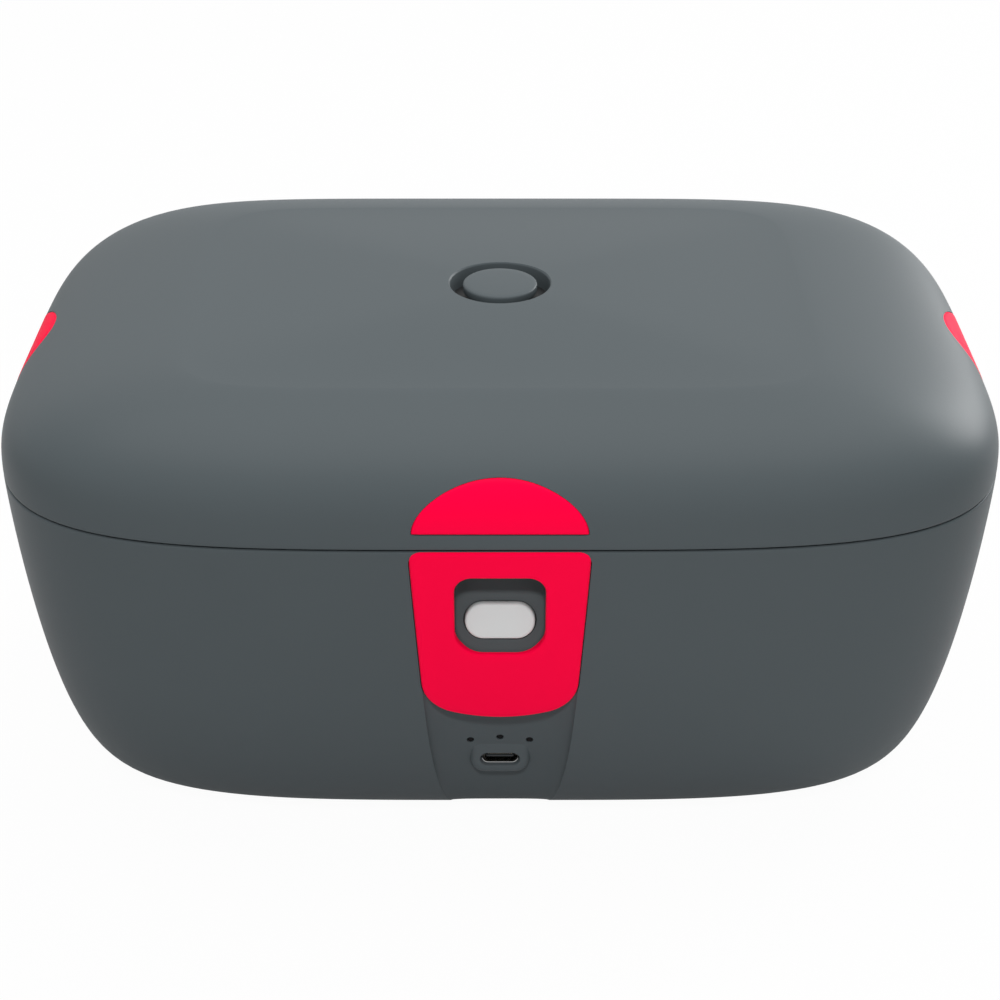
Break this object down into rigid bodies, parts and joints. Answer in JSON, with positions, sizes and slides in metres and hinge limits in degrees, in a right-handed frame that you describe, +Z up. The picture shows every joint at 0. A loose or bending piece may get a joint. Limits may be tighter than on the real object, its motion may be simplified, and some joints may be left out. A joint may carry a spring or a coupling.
{
  "type": "electric lunch box",
  "caption": "Portable electric lunch box: tapered housing with heated dish, domed lid hinged at the back, side clips, tilted push button and charge port.",
  "frame": {"origin": "centre of the footprint's box, on the plane the feet rest on", "axes": "+X to the right as seen from the front, +Y to the back where the lid's hinge is, +Z up"},
  "size_m": [0.2406, 0.1801, 0.1192],
  "materials": {
    "housing_plastic": "satin, finely textured",
    "lid_plastic": "satin, finely textured",
    "pocket_plastic": "satin",
    "inner_plastic": "satin",
    "red_plastic": "semi-gloss",
    "button_plastic": "satin",
    "light_plastic": "clear, gloss",
    "dish_steel": "brushed",
    "well_aluminium": "satin",
    "hardware_steel": "zinc-plated",
    "port_steel": "bright plated",
    "foot_rubber": "matte",
    "seal_silicone": "matte",
    "heater_foil": "film-covered foil",
    "insulation_foam": "soft, matte",
    "cell_sleeve": "shrink sleeve over a metal can",
    "board_laminate": "solder resist",
    "cutoff_ceramic": "glazed"
  },
  "bodies": {
    "housing": {"body_shell": "housing_plastic", "base_cover": "inner_plastic", "base_screws": "hardware_steel", "feet": "foot_rubber", "top_deck": "inner_plastic", "heating_well": "well_aluminium", "heater_mat": "heater_foil", "thermal_cutoff": "cutoff_ceramic", "insulation_pad": "insulation_foam", "cell_holder": "inner_plastic", "battery_cells": "cell_sleeve", "cell_links": "hardware_steel", "control_board": "board_laminate", "usb_port": "port_steel", "usb_tongue": "inner_plastic", "light_pipes": "light_plastic", "light_board": "board_laminate", "front_plate": "red_plastic", "button_pocket": "pocket_plastic", "switch_board": "board_laminate", "button_switch": "inner_plastic", "clip_pins": "hardware_steel", "hinge_base": "housing_plastic", "hinge_pin": "hardware_steel", "hinge_screws": "hardware_steel", "food_dish": "dish_steel"},
    "lid": {"lid_shell": "lid_plastic", "lid_liner": "inner_plastic", "lid_seal": "seal_silicone", "lid_foam": "insulation_foam", "liner_screws": "hardware_steel", "hinge_lid": "lid_plastic", "lid_hinge_screws": "hardware_steel", "front_inlay": "red_plastic", "left_inlay": "red_plastic", "right_inlay": "red_plastic", "vent_housing": "inner_plastic", "vent_spring": "hardware_steel"},
    "left_clip": {"left_clip": "red_plastic"},
    "right_clip": {"right_clip": "red_plastic"},
    "power_button": {"power_button": "button_plastic"},
    "vent_button": {"vent_button": "lid_plastic"}
  },
  "joints": [
    {"name": "lid_hinge", "type": "hinge", "parent": "housing", "child": "lid", "pos_m": [0, 0.0869, 0.0925], "axis": [-1, 0, 0], "range_deg": [0, 105]},
    {"name": "left_clip_pivot", "type": "hinge", "parent": "housing", "child": "left_clip", "pos_m": [-0.11178, -0.0032, 0.0463], "axis": [0, -1, 0], "range_deg": [0, 95]},
    {"name": "right_clip_pivot", "type": "hinge", "parent": "housing", "child": "right_clip", "pos_m": [0.11178, -0.0032, 0.0463], "axis": [0, 1, 0], "range_deg": [0, 95]},
    {"name": "power_button_press", "type": "slide", "parent": "housing", "child": "power_button", "axis": [0, 0.9703, -0.2419], "range_m": [0, 0.001], "stiffness_N_per_m": 300},
    {"name": "vent_button_press", "type": "slide", "parent": "lid", "child": "vent_button", "axis": [0, 0, -1], "range_m": [0, 0.002], "stiffness_N_per_m": 400, "deforming": ["vent_spring"]}
  ]
}
